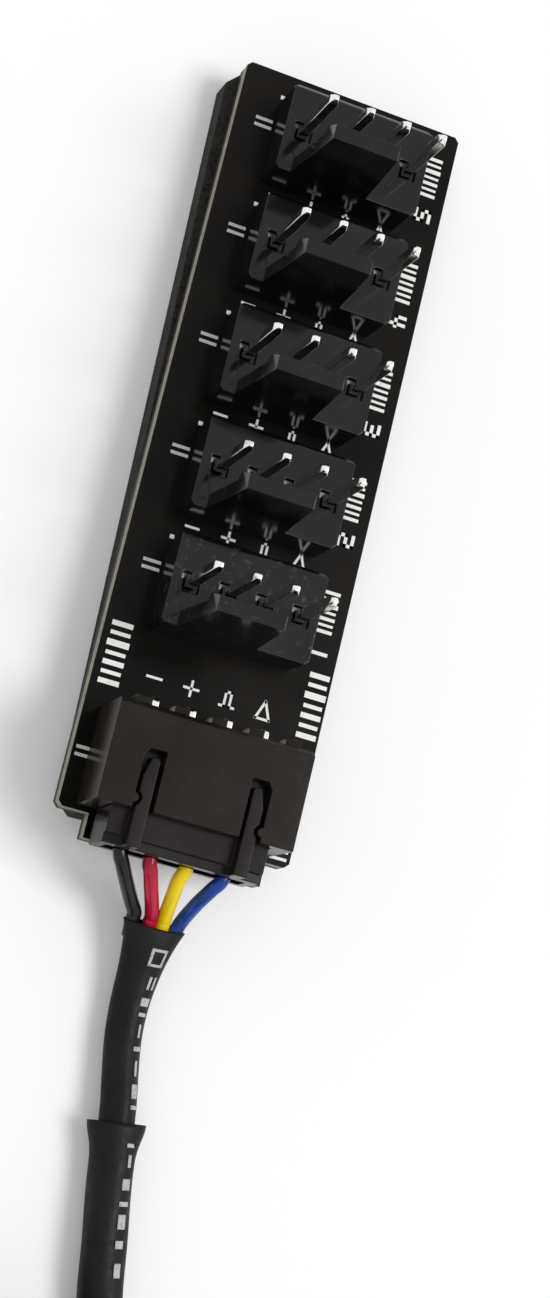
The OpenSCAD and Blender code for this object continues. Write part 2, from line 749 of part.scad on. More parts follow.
// Fan plug: four square openings in front, a cavity behind each, two guide ribs

function fan_way(w) = fan_x + (w - 2.5) * way_pitch;

module fan_plug() {
    color([0.15, 0.15, 0.155])
    difference() {
        union() {
            along_x(fan_x, fan_w)
                polygon([[plugs_y, 0], [plugs_y, fan_h - fan_edge], [plugs_y - fan_edge, fan_h],
                    [fan_end + fan_edge, fan_h], [fan_end, fan_h - fan_edge],
                    [fan_end, fan_edge], [fan_end + fan_edge, 0]]);
            for (s = [-1, 1])
                slab(fan_x + s * way_pitch * 1.25, guide_w, fan_end + fan_front, plugs_y - 2 * fan_front,
                    fan_h - tiny, fan_h + guide_h);
        }
        for (w = [1:ways]) {
            translate([fan_way(w), 0, fan_h / 2]) {
                slab(0, fan_hole, fan_end - 1, fan_end + fan_front + 1, -fan_hole / 2, fan_hole / 2);
                slab(0, fan_cavity, fan_end + fan_front, plugs_y + 1, -fan_cavity / 2, fan_cavity / 2);
                slab(0, fan_hole, fan_end + 2 * fan_front, fan_end + 2 * fan_front + fan_window, 0, fan_h);
            }
        }
    }
}

module fan_contact(w) {
    outer = fan_cavity - 2 * contact_play;
    inner = outer - 2 * contact_wall;
    box_end = fan_end + fan_front + 6;
    color(contact_metal)
    translate([fan_way(w), 0, fan_h / 2])
        difference() {
            union() {
                slab(0, outer, fan_end + fan_front + 0.1, box_end, -outer / 2, outer / 2);
                along_y(box_end - 0.5, plugs_y - 0.3 - box_end + 0.5) circle(d = outer - 0.1);
            }
            slab(0, inner, fan_end + fan_front - 1, box_end - contact_wall, -inner / 2, inner / 2);
            along_y(box_end - 1, plugs_y - box_end + 2) circle(d = wire_d + 2 * crimp_play);
        }
}

foam_pad();
board();
solder_joints();
for (n = [1:outlets])
    outlet_housing(n);
for (n = [1:outlets], w = [1:ways])
    outlet_pin(n, w);
input_socket();
for (w = [1:ways])
    input_pin(w);
input_plug();
for (w = [1:ways])
    contact(w);
wire_black();
wire_red();
wire_yellow();
wire_blue();
first_sleeve();
cable_near();
cable_coil();
coil_tie();
cable_far();
lead_black();
lead_red();
lead_yellow();
lead_blue();
power_plug();
power_pin(2);  // power_pin_black
power_pin(1);  // power_pin_red
fan_plug();
fan_contact(3);  // fan_contact_yellow
fan_contact(4);  // fan_contact_blue
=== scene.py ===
import math
import bmesh
import bpy
import numpy as np
from mathutils import Matrix, Vector


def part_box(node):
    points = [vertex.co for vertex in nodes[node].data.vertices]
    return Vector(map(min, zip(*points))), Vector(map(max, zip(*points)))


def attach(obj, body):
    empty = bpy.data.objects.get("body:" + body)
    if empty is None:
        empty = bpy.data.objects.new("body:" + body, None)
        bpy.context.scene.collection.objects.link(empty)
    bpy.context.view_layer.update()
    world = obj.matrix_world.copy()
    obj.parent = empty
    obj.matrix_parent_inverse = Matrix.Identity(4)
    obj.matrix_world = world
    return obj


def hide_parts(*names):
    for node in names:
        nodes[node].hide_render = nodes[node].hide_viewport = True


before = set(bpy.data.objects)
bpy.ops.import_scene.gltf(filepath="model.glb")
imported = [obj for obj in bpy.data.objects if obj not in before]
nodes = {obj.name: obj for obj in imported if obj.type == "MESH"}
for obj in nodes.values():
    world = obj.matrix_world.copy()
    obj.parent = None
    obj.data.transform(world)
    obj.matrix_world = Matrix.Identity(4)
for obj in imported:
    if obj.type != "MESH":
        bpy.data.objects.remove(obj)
scene = bpy.context.scene
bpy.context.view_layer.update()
mm = 0.001
scene.view_settings.view_transform = "Standard"
print("frame loaded:", len(nodes), "nodes")


# Camera, found from the outlet pins and the board's corners

camera = {
    "place": (-39.29, -46.70, 155.33),  # mm
    "look": (0.2657, 0.2175, -0.9392),
    "up": (-0.2827, 0.949, 0.1398),
    "lens": 68.33,  # for a film 36 mm along its long side
    "film": 36.0,
    "clip": (0.005, 10),  # nearest and furthest distance seen, in metres
}


def makeCamera(spec):
    back = -Vector(spec["look"]).normalized()
    right = Vector(spec["up"]).cross(back).normalized()
    turn = Matrix((right, back.cross(right), back)).transposed()
    data = bpy.data.cameras.new("camera")
    data.lens = spec["lens"]
    data.sensor_width = spec["film"]
    data.clip_start, data.clip_end = spec["clip"]
    made = bpy.data.objects.new("camera", data)
    made.matrix_world = Matrix.Translation(Vector(spec["place"]) * mm) @ turn.to_4x4()
    scene.collection.objects.link(made)
    scene.camera = made


makeCamera(camera)


# Shader maths: arithmetic on a Channel adds Math nodes to its material

class Channel:
    def __init__(self, graph, socket):
        self.graph = graph
        self.socket = socket

    def join(self, operation, other, flip=False):
        first, second = (other, self) if flip else (self, other)
        return self.graph.add("ShaderNodeMath", {"operation": operation}, {0: first, 1: second})

    def __add__(self, other):
        return self.join("ADD", other)

    def __radd__(self, other):
        return self.join("ADD", other, True)

    def __sub__(self, other):
        return self.join("SUBTRACT", other)

    def __rsub__(self, other):
        return self.join("SUBTRACT", other, True)

    def __mul__(self, other):
        return self.join("MULTIPLY", other)

    def __rmul__(self, other):
        return self.join("MULTIPLY", other, True)


class Graph:
    def __init__(self, name):
        self.material = bpy.data.materials.new(name)
        self.material.use_nodes = True
        self.tree = self.material.node_tree
        self.tree.nodes.clear()

    # One node: its settings first, then the values or links of its sockets
    def add(self, kind, settings=None, values=None, out=0):
        node = self.tree.nodes.new(kind)
        for key, value in (settings or {}).items():
            setattr(node, key, value)
        for key, value in (values or {}).items():
            if isinstance(value, Channel):
                self.tree.links.new(value.socket, node.inputs[key])
            else:
                node.inputs[key].default_value = value
        return Channel(self, node.outputs[out]) if node.outputs else None

    def place(self):
        return self.add("ShaderNodeTexCoord", out="Object")

    def uv(self):
        return self.add("ShaderNodeTexCoord", out="UV")

    def split(self, vector, axis):
        return self.add("ShaderNodeSeparateXYZ", None, {0: vector}, axis)

    def stretch(self, vector, scale):
        return self.add("ShaderNodeMapping", None, {"Vector": vector, "Scale": scale})

    def noise(self, vector, scale, detail=3.0, rough=0.55):
        sockets = {"Vector": vector, "Scale": scale, "Detail": detail, "Roughness": rough}
        return self.add("ShaderNodeTexNoise", None, sockets)

    # Smooth step of a value from low to high, onto a to b
    def step(self, value, low, high, a=0.0, b=1.0):
        sockets = {"Value": value, "From Min": low, "From Max": high, "To Min": a, "To Max": b}
        return self.add("ShaderNodeMapRange", {"interpolation_type": "SMOOTHSTEP"}, sockets)

    def mix(self, factor, a, b):
        sockets = {0: factor, 6: a, 7: b}
        return self.add("ShaderNodeMix", {"data_type": "RGBA"}, sockets, 2)

    def bump(self, height, depth, strength=1.0):
        return self.add("ShaderNodeBump", None, {"Height": height, "Distance": depth, "Strength": strength})

    def surface(self, **values):
        named = {key.replace("_", " "): value for key, value in values.items()}
        shader = self.add("ShaderNodeBsdfPrincipled", None, named)
        self.add("ShaderNodeOutputMaterial", None, {"Surface": shader})
        return self.material


def rgb(colour):
    return (*colour, 1)


# Materials: the noise values are patches across one metre, the depths of bumps are millimetres

plastic = {
    "flow": 260,  # flow marks
    "grains": 5200,
    "dust": 1700,
    "dustColour": (0.2, 0.2, 0.2),
    "dustRough": 0.4,
    "uneven": 0.06,  # how much rougher the rougher patches are
    "bump": 0.5,
}
moulding = {
    "colour": (0.004, 0.0038, 0.0037),
    "pale": (0.0085, 0.008, 0.0078),
    "rough": 0.1,
    "gloss": 0.29,
    "grain": 0.0012,
}
brownish = {
    "colour": (0.0105, 0.0078, 0.006),
    "pale": (0.014, 0.0105, 0.0085),
    "rough": 0.2,
    "gloss": 0.13,
    "grain": 0.0012,
}
plugTone = {"colour": (0.012, 0.0085, 0.0085), "pale": (0.014, 0.011, 0.011)}


# Satin black plastic: a fine grain, faint flow marks, and dust where it is asked for
def moulded(name, spec, dust=0.0):
    g = Graph(name)
    at = g.place()
    flow = g.noise(at, plastic["flow"], 4)
    grain = g.noise(at, plastic["grains"], 2)
    specks = g.step(g.noise(at, plastic["dust"], 4, 0.7), 0.56, 0.7)
    tone = g.mix(g.step(flow, 0.35, 0.75), rgb(spec["colour"]), rgb(spec["pale"]))
    tone = g.mix(specks * dust, tone, rgb(plastic["dustColour"]))
    rough = spec["rough"] + g.step(flow, 0.3, 0.7, 0.0, plastic["uneven"])
    rough = rough + specks * dust * plastic["dustRough"]
    return g.surface(Base_Color=tone, Roughness=rough, Specular_IOR_Level=spec["gloss"],
                     Normal=g.bump(grain, spec["grain"] * mm, plastic["bump"]))


mask = {
    "colour": (0.004, 0.0036, 0.003),
    "warm": (0.0085, 0.0072, 0.006),
    "core": (0.42, 0.4, 0.33),  # glass fibre
    "coreDeep": (0.2, 0.19, 0.15),
    "paintedFootShade": (0.045, 0.042, 0.034),  # painted shade along the foot of the cut edge
    "cut": (2.75, 3.0),  # heights in mm between which the painted shade at the cut edge's foot gives way to the pale core
    "weave": 2600,
    "patches": 120,
    "ripple": 1500,
    "rippleShare": 0.12,
    "rough": 0.15,
    "sideRough": 0.35,
    "uneven": 0.08,
    "gloss": 0.09,
    "depth": 0.012,
}


# Black solder mask on the faces, pale glass fibre on the cut edges, with painted shade along their foot
def boardMask(spec):
    g = Graph("board mask")
    at = g.place()
    up = g.split(g.add("ShaderNodeNewGeometry", out="True Normal"), "Z")
    side = 1 - g.step(up * up, 0.3, 0.5)
    weave = g.noise(g.stretch(at, (1, 1, 6)), spec["weave"], 3)
    patches = g.noise(at, spec["patches"], 3)
    face = g.mix(g.step(patches, 0.35, 0.7), rgb(spec["colour"]), rgb(spec["warm"]))
    edge = g.mix(g.step(weave, 0.3, 0.7), rgb(spec["core"]), rgb(spec["coreDeep"]))
    dark, pale = spec["cut"]
    # painted shade: the cut edges turn dark below these heights
    low = g.step(g.split(at, "Z"), dark * mm, pale * mm, 1.0, 0.0)
    edge = g.mix(low, edge, rgb(spec["paintedFootShade"]))
    rough = spec["rough"] + side * spec["sideRough"] + g.step(patches, 0.3, 0.7, 0.0, spec["uneven"])
    ripple = g.noise(at, spec["ripple"], 2)
    height = ripple * spec["rippleShare"] * (1 - side) + weave * side
    return g.surface(Base_Color=g.mix(side, face, edge), Roughness=rough, Specular_IOR_Level=spec["gloss"],
                     Normal=g.bump(height, spec["depth"] * mm, 0.4))


foam = {
    "cells": 3600.0,
    "patches": 700,
    # deep is painted shade in the cell hollows, rim is the tone at their edges
    "deep": (0.006, 0.006, 0.006),
    "rim": (0.03, 0.029, 0.026),
    "pale": (0.045, 0.043, 0.037),
    "rough": 0.85,
    "gloss": 0.18,
    "depth": 0.05,
}


# Closed-cell foam: round cells over the whole face, cut open on its sides, with painted shade in the cell
# hollows
def foamBlack(spec):
    g = Graph("foam")
    at = g.place()
    cells = g.add("ShaderNodeTexVoronoi", None, {"Vector": at, "Scale": spec["cells"]})
    patches = g.step(g.noise(at, spec["patches"], 3), 0.4, 0.7)
    # painted shade: darker towards the middle of each cell, where the bump makes a hollow
    tone = g.mix(g.step(cells, 0.1, 0.7), rgb(spec["deep"]), rgb(spec["rim"]))
    return g.surface(Base_Color=g.mix(patches * 0.5, tone, rgb(spec["pale"])), Roughness=spec["rough"],
                     Specular_IOR_Level=spec["gloss"], Normal=g.bump(cells, spec["depth"] * mm, 0.8))


metal = {
    "smears": 900,
    "scratches": 6000,
    "stretch": (1, 1, 0.15),
    "uneven": 0.06,
    "depth": 0.0006,
}


# Plated metal: bright, with faint smears and a few dull patches
def plated(name, colour, dull, rough):
    g = Graph(name)
    at = g.place()
    smears = g.noise(at, metal["smears"], 4)
    fine = g.noise(g.stretch(at, metal["stretch"]), metal["scratches"], 2)
    tone = g.mix(g.step(smears, 0.5, 0.8), rgb(colour), rgb(dull))
    rough = rough + g.step(smears, 0.4, 0.8, 0.0, metal["uneven"])
    return g.surface(Base_Color=tone, Metallic=1.0, Roughness=rough,
                     Normal=g.bump(fine, metal["depth"] * mm, 0.2))


wireSkin = {
    "patches": 420,
    "grains": 4200,
    "uneven": 0.06,
    "gloss": 0.25,
    "depth": 0.0015,
}


# Wire insulation: soft gloss with a slow change of tone along the wire
def insulation(name, colour, deep, rough):
    g = Graph(name)
    at = g.place()
    patches = g.noise(at, wireSkin["patches"], 3)
    fine = g.noise(at, wireSkin["grains"], 2)
    tone = g.mix(g.step(patches, 0.3, 0.75), rgb(colour), rgb(deep))
    rough = rough + g.step(fine, 0.3, 0.7, 0.0, wireSkin["uneven"])
    return g.surface(Base_Color=tone, Roughness=rough, Specular_IOR_Level=wireSkin["gloss"],
                     Normal=g.bump(fine, wireSkin["depth"] * mm, 0.3))


shrinkSkin = {
    "creases": (0.35, 5, 1),  # stretch of the pattern along and around the tube
    "rings": (9, 0.6, 1),
    "ringShare": 0.25,
    "patches": 330,
    "grains": 1500,
    "rough": 0.42,
    "uneven": 0.14,
    "gloss": 0.15,
    "depth": 0.09,
}


# Shrink sleeve: satin, with long creases that follow the wires inside and fine rings across
def shrink(name, colour, pale):
    g = Graph(name)
    along = g.uv()
    at = g.place()
    creases = g.noise(g.stretch(along, shrinkSkin["creases"]), 2.2, 3)
    rings = g.noise(g.stretch(along, shrinkSkin["rings"]), 1.5, 3)
    patches = g.noise(at, shrinkSkin["patches"], 3)
    tone = g.mix(g.step(patches, 0.3, 0.75), rgb(colour), rgb(pale))
    fine = g.noise(at, shrinkSkin["grains"], 2)
    rough = shrinkSkin["rough"] + g.step(fine, 0.3, 0.7, 0.0, shrinkSkin["uneven"])
    height = creases + rings * shrinkSkin["ringShare"]
    return g.surface(Base_Color=tone, Roughness=rough, Specular_IOR_Level=shrinkSkin["gloss"],
                     Normal=g.bump(height, shrinkSkin["depth"] * mm, 0.5))


ink = {
    "wear": 5200,
    "rough": 0.55,
}


# White print: opaque, a little uneven at its edges
def printWhite(name, colour, worn):
    g = Graph(name)
    wear = g.noise(g.place(), ink["wear"], 3)
    tone = g.mix(g.step(wear, 0.5, 0.75), rgb(colour), rgb(worn))
    return g.surface(Base_Color=tone, Roughness=ink["rough"])


looks = {
    "outlet": moulded("outlet plastic", moulding),
    "dusty": moulded("dusty outlet plastic", moulding, dust=0.2),
    "socket": moulded("socket plastic", brownish, dust=0.03),
    "plug": moulded("plug plastic", {**brownish, **plugTone}),
    "board": boardMask(mask),
    "foam": foamBlack(foam),
    "tin": plated("tin plate", (0.86, 0.85, 0.82), (0.6, 0.59, 0.56), 0.09),
    "crimp": plated("crimped contact", (0.82, 0.78, 0.68), (0.5, 0.47, 0.4), 0.2),
    "solder": plated("solder", (0.75, 0.76, 0.77), (0.42, 0.42, 0.42), 0.24),
    "black": insulation("black insulation", (0.004, 0.004, 0.004), (0.009, 0.009, 0.009), 0.14),
    "red": insulation("red insulation", (0.47, 0.008, 0.042), (0.3, 0.003, 0.022), 0.13),
    "yellow": insulation("yellow insulation", (0.9, 0.66, 0.006), (0.78, 0.53, 0.004), 0.18),
    "blue": insulation("blue insulation", (0.01, 0.06, 0.36), (0.003, 0.016, 0.11), 0.14),
    "sleeve": shrink("first sleeve", (0.0045, 0.0045, 0.0045), (0.009, 0.009, 0.009)),
    "jacket": shrink("cable jacket", (0.0045, 0.0045, 0.0045), (0.009, 0.009, 0.009)),
    "tie": moulded("tie nylon", {**moulding, "colour": (0.007, 0.007, 0.007), "rough": 0.35}),
    "print": printWhite("white print", (0.86, 0.86, 0.84), (0.68, 0.68, 0.66)),
    "ink": printWhite("sleeve ink", (0.42, 0.42, 0.42), (0.16, 0.16, 0.16)),
}
print("materials made:", len(looks))


# Meshes

def addPiece(name, mesh, look, smooth=True):
    made = bpy.data.objects.new(name, mesh)
    scene.collection.objects.link(made)
    mesh.materials.clear()
    mesh.materials.append(looks[look])
    if smooth:
        mesh.shade_smooth()
    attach(made, "root")
    return made


# Faces of a grid of rows by columns, closed around its columns
def gridFaces(rows, columns):
    i, k = np.meshgrid(np.arange(rows - 1), np.arange(columns), indexing="ij")
    a = i * columns + k
    b = i * columns + (k + 1) % columns
    return np.stack([a, b, b + columns, a + columns], -1).reshape(-1, 4)


def meshFrom(name, points, faces, uv=None):
    mesh = bpy.data.meshes.new(name)
    mesh.from_pydata((np.asarray(points) * mm).tolist(), [], [list(f) for f in faces])
    if uv is not None:
        layer = mesh.uv_layers.new(name="along")
        corner = np.zeros(len(mesh.loops), int)
        mesh.loops.foreach_get("vertex_index", corner)
        layer.data.foreach_set("uv", uv[corner].astype(np.float32).ravel())
    edit = bmesh.new()
    edit.from_mesh(mesh)
    bmesh.ops.recalc_face_normals(edit, faces=edit.faces)
    edit.to_mesh(mesh)
    edit.free()
    mesh.update()
    return mesh


# A Catmull-Rom curve through the points, with a fixed number of steps in each span
def smoothLine(points, steps):
    p = np.asarray(points, float)
    p = np.vstack([2 * p[0] - p[1], p, 2 * p[-1] - p[-2]])
    t = np.linspace(0, 1, steps, endpoint=False)[None, :, None]
    a, b, c, d = (p[i:len(p) - 3 + i, None, :] for i in range(4))
    line = 0.5 * (2 * b + (c - a) * t + (2 * a - 5 * b + 4 * c - d) * t**2 + (3 * b - a - 3 * c + d) * t**3)
    return np.vstack([line.reshape(-1, 3), p[-2]])


# Heading, sideways and upward direction at each point of a line
def directions(line):
    heading = np.gradient(line, axis=0)
    heading /= np.linalg.norm(heading, axis=1, keepdims=True)
    sideways = np.cross(heading, [0, 0, 1])
    sideways /= np.linalg.norm(sideways, axis=1, keepdims=True)
    return heading, sideways, np.cross(sideways, heading)


def lengthAlong(line):
    return np.concatenate([[0], np.cumsum(np.linalg.norm(np.diff(line, axis=0), axis=1))])


# Surface of a tube: line(s) + wide(s) cos(a) sideways + high(s) sin(a) upwards
def tubePoints(line, wide, high, angles):
    heading, sideways, upwards = directions(line)
    c = (np.cos(angles)[None, :] * wide)[..., None]
    s = (np.sin(angles)[None, :] * high)[..., None]
    return line[:, None, :] + c * sideways[:, None, :] + s * upwards[:, None, :]


# A tube closed at both ends; where it is open, the skin turns in and runs back inside as an inner wall
def tubeMesh(name, line, wide, high, sides, openTo=(0.0, 0.0), wall=0.2):
    angles = np.arange(sides) * 2 * math.pi / sides
    s = lengthAlong(line)
    skin = tubePoints(line, wide, high, angles)
    rings = [skin]
    marks = [s]
    for end, depth in enumerate(openTo):
        if depth > 0:
            inside = s <= depth if end == 0 else s >= s[-1] - depth
            inner = tubePoints(line, wide - wall, high - wall, angles)[inside]
            at = s[inside]
            if end == 0:
                rings.insert(0, inner[::-1])
                marks.insert(0, at[::-1])
            else:
                rings.append(inner[::-1])
                marks.append(at[::-1])
    points = np.concatenate(rings)
    mark = np.concatenate(marks)
    rows = len(points)
    faces = gridFaces(rows, sides).tolist()
    faces.append(list(range(sides))[::-1])
    faces.append([(rows - 1) * sides + k for k in range(sides)])
    uv = np.stack([np.repeat(mark, sides), np.tile(angles / (2 * math.pi), rows)], -1)
    return meshFrom(name, points.reshape(-1, 3), faces, uv)


rounding = {
    "merge": 1e-6,  # metres
    "flat": 1,  # degrees between faces that count as one
    "sharp": 32,  # degrees at which an edge is rounded
    "weight": 100,  # large faces keep their shading flat
    "level": 0.01,
}


# A merged copy of a CAD node with its edges rounded, edge millimetres wide.
# Faces with holes keep their triangles, dissolve=False, so that the rounding closes well there
def softened(node, look, edge, slot, segments=2, dissolve=True):
    mesh = nodes[node].data.copy()
    edit = bmesh.new()
    edit.from_mesh(mesh)
    bmesh.ops.remove_doubles(edit, verts=edit.verts, dist=rounding["merge"])
    if dissolve:
        flat = math.radians(rounding["flat"])
        bmesh.ops.dissolve_limit(edit, angle_limit=flat, verts=edit.verts, edges=edit.edges)
    edit.to_mesh(mesh)
    edit.free()
    made = addPiece(f"{node}_soft", mesh, look)
    bevel = made.modifiers.new("edges", "BEVEL")
    bevel.width = edge * mm
    bevel.segments = segments
    bevel.limit_method = "ANGLE"
    bevel.angle_limit = math.radians(rounding["sharp"])
    bevel.miter_outer = "MITER_ARC"
    shading = made.modifiers.new("flat faces", "WEIGHTED_NORMAL")
    shading.weight = rounding["weight"]
    shading.thresh = rounding["level"]
    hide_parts(node)
    return made


# Cable: the routes repeat those of the part's source, in millimetres

coil = {
    "x": -8.0,
    "y": -72.2,
    "radius": 14.5,
    "gap": 52.0,  # degrees at the end of a turn, where the cable climbs onto it
    "rise": 0.77,  # share of the gap that the climb takes
    "tie": 0.3,  # thickness of the band under the cable
    "steps": 60,  # points in a turn
}
cable = {
    "diameter": 2.9,
    "length": 239.0,
    "flare": 3.85,  # width of the open mouth
    "fade": 1.3,  # distance over which the mouth narrows
    "lumps": {"count": 3, "high": 0.05, "twist": 0.7, "start": 3.0},
    "wall": 0.25,
    "hollow": (3.0, 3.0),  # open depth at its two ends
    "sides": 24,
    "steps": 6,  # in each span of its route
    "near": [(1.4, -43.5, 1.45), (1.6, -45.1, 1.45), (1.8, -46.5, 1.45), (2.3, -50, 1.45), (3, -54, 1.45),
             (4.2, -58, 1.45), (5.7, -62, 1.5), (6.5, -65.5, 1.6), (6.6, -69, 1.7), (6.5, -72.1, 1.75)],
    "far": [(7.1, -75.2, 7.7), (8, -78.4, 7.5), (8.8, -81.6, 6), (8.9, -84.8, 3.6), (8, -87.8, 2),
            (6.4, -90.6, 1.5), (4.9, -93, 1.45), (4.5, -94.6, 1.45), (4.5, -95.6, 1.45)],
}
sleeve = {
    "diameter": 2.35,
    "mouth": (4.2, 1.7),  # width and height of the open mouth
    "fade": 2.4,  # distance over which the mouth narrows
    "creases": {"count": 4, "high": 0.04, "turn": 0.6},
    "wall": 0.18,
    "hollow": (2.0, 0.0),
    "sides": 28,
    "steps": 8,
    "route": [(0.4, -31, 2.7), (0.4, -32.2, 2.3), (0.4, -34, 1.7), (0.4, -36, 1.3), (0.5, -38, 1.25),
              (0.8, -40, 1.3), (1.2, -42.2, 1.4), (1.4, -43.6, 1.45), (1.6, -45.1, 1.45)],
}
wires = {
    "diameter": 0.95,
    "sides": 16,
    "steps": 6,
    "inside": (1.6, -0.2),  # where a wire starts and leaves its plug, from the back of its contact
    "inPin": (-1.0, 1.0),  # where a lead enters and ends, from the back of its pin
    "black": [(-3.8, -27.4, 6.2), (-3.3, -28.2, 5.75), (-2.5, -29.1, 4.65), (-1.7, -29.9, 3.5),
              (-1.15, -30.5, 2.9), (-1.1, -30.9, 2.7), (-1, -32, 2.3)],
    "red": [(-1.8, -27.4, 6.2), (-1.45, -28.2, 5.8), (-0.87, -29.1, 4.7), (-0.28, -29.9, 3.5),
            (0.02, -30.5, 2.9), (0.02, -30.9, 2.7), (0, -32, 2.3)],
    "yellow": [(0.6, -27.4, 6.2), (0.42, -28.2, 5.8), (0.58, -29.1, 4.7), (0.78, -29.9, 3.5),
               (0.88, -30.5, 2.9), (0.9, -30.9, 2.7), (0.9, -32, 2.3)],
    "blue": [(3.1, -27.4, 6.2), (2.68, -28.2, 5.8), (2.3, -29.1, 4.7), (2.1, -29.9, 3.5),
             (1.95, -30.5, 2.9), (1.85, -30.9, 2.7), (1.35, -32, 2.25)],
}
leads = {
    "black": [(4, -94.5, 1), (4, -95.7, 0.95), (3.95, -96.4, 0.9), (3.3, -98, 0.6), (1.4, -99.8, 0.5),
              (-2.4, -101.6, 0.5), (-6.6, -103.8, 0.7), (-9.2, -107, 2), (-9.9, -110, 4.2)],
    "red": [(4, -94.5, 1.95), (4, -95.7, 1.95), (4, -96.4, 1.95), (3.6, -98.4, 1.7), (2.4, -101, 0.9),
            (0, -103.8, 0.6), (-2.8, -106.6, 1.2), (-4.4, -109, 2.8), (-4.8, -110.8, 4.4)],
    "yellow": [(5, -94.5, 1.95), (5, -95.7, 1.95), (5, -96.4, 1.95), (5.3, -98.4, 1.6), (6, -101, 0.9),
               (6.5, -104, 0.6), (6.5, -107, 0.8), (6.4, -109, 1.5), (6.3, -110.8, 2.5)],
    "blue": [(5, -94.5, 1), (5, -95.7, 0.95), (5.05, -96.4, 0.9), (5.8, -98, 0.6), (7.4, -100.4, 0.5),
             (8.8, -103.6, 0.5), (9.1, -107, 0.8), (9, -109, 1.5), (8.9, -110.8, 2.5)],
}


# Two turns, each level until the gap and then one diameter up, by a smooth step over part of the gap
def coilTurns(spec, diameter):
    first = np.linspace(0, 360, spec["steps"] + 1)[1:]
    turn = np.concatenate([first, 360 + first])
    into = np.clip((turn % 360 - (360 - spec["gap"])) / (spec["gap"] * spec["rise"]), 0, 1)
    into[turn % 360 == 0] = 1
    layer = np.floor((turn - 0.001) / 360) + into * into * (3 - 2 * into)
    a = np.radians(-turn)
    x = spec["x"] + spec["radius"] * np.cos(a)
    y = spec["y"] + spec["radius"] * np.sin(a)
    return np.stack([x, y, spec["tie"] + diameter * (0.5 + layer)], -1)


coilLine = coilTurns(coil, cable["diameter"])
cableLine = np.vstack([
    smoothLine(cable["near"], cable["steps"])[:-1],
    coilLine,
    smoothLine([coilLine[-1], *cable["far"]], cable["steps"])[1:],
])


# A round tube that widens sideways at its mouth, by a bell curve of the distance s from it,
# with low lumps around it, high sin(count a + twist s), which grow from nothing at the mouth
def makeCable(line, spec):
    s = lengthAlong(line)
    half = spec["diameter"] / 2
    lip = np.exp(-((s / spec["fade"]) ** 2)) * (spec["flare"] - spec["diameter"]) / 2
    angles = np.arange(spec["sides"]) * 2 * math.pi / spec["sides"]
    low = spec["lumps"]
    grown = low["high"] * np.clip(s / low["start"], 0, 1)
    lumps = grown[:, None] * np.sin(low["count"] * angles[None, :] + s[:, None] * low["twist"])
    wide = (half + lip)[:, None] + lumps
    high = half + lumps * 0.5
    mesh = tubeMesh("cable", line, wide, high, spec["sides"], spec["hollow"], spec["wall"])
    made = addPiece("cable", mesh, "jacket")
    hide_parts("cable_near", "cable_coil", "cable_far")
    return made


# Share of the mouth's form at distance s, exp(-s / fade), and the sleeve's half width and half height there
def sleeveForm(spec, s):
    share = np.exp(-s / spec["fade"])
    half = spec["diameter"] / 2
    wide, high = (half + share * (size / 2 - half) for size in spec["mouth"])
    return share, wide, high


# A tube that goes from a flat mouth to a round end, with creases around it, high sin(count a + turn)
def makeSleeve(spec):
    line = smoothLine(spec["route"], spec["steps"])
    share, wide, high = (value[:, None] for value in sleeveForm(spec, lengthAlong(line)))
    angles = np.arange(spec["sides"]) * 2 * math.pi / spec["sides"]
    fold = spec["creases"]
    creases = fold["high"] * np.sin(fold["count"] * angles[None, :] + fold["turn"]) * (1 - share)
    mesh = tubeMesh("first_sleeve_skin", line, wide + creases, high + creases, spec["sides"],
                    spec["hollow"], spec["wall"])
    made = addPiece("first_sleeve_skin", mesh, "sleeve")
    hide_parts("first_sleeve")
    return made


# A round wire along its points
def makeWire(name, points, look, node):
    line = smoothLine(points, wires["steps"])
    half = np.full((len(line), 1), wires["diameter"] / 2)
    made = addPiece(name, tubeMesh(name, line, half, half, wires["sides"]), look)
    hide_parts(node)
    return made


def centre(node):
    low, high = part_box(node)
    return (low + high) / 2 / mm


cordPieces = [makeSleeve(sleeve)]
for way, colour in enumerate(("black", "red", "yellow", "blue"), 1):
    x, _, z = centre(f"contact_{way}")
    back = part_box(f"contact_{way}")[0].y / mm
    start = [(x, back + away, z) for away in wires["inside"]]
    cordPieces.append(makeWire(f"{colour}_wire", start + wires[colour], colour, f"wire_{colour}"))
farEnds = {"black": "power_pin_black", "red": "power_pin_red", "yellow": "fan_contact_yellow",
           "blue": "fan_contact_blue"}
for colour, pin in farEnds.items():
    x, _, z = centre(pin)
    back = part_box(pin)[1].y / mm
    end = [(x, back - away, z) for away in wires["inPin"]]
    cordPieces.append(makeWire(f"{colour}_lead", leads[colour] + end, colour, f"lead_{colour}"))
cablePiece = makeCable(cableLine, cable)
print("cable length, mm:", round(float(lengthAlong(cableLine)[-1]), 1))


# Hard pieces: look, width of the rounded edges in millimetres, and slot of each node

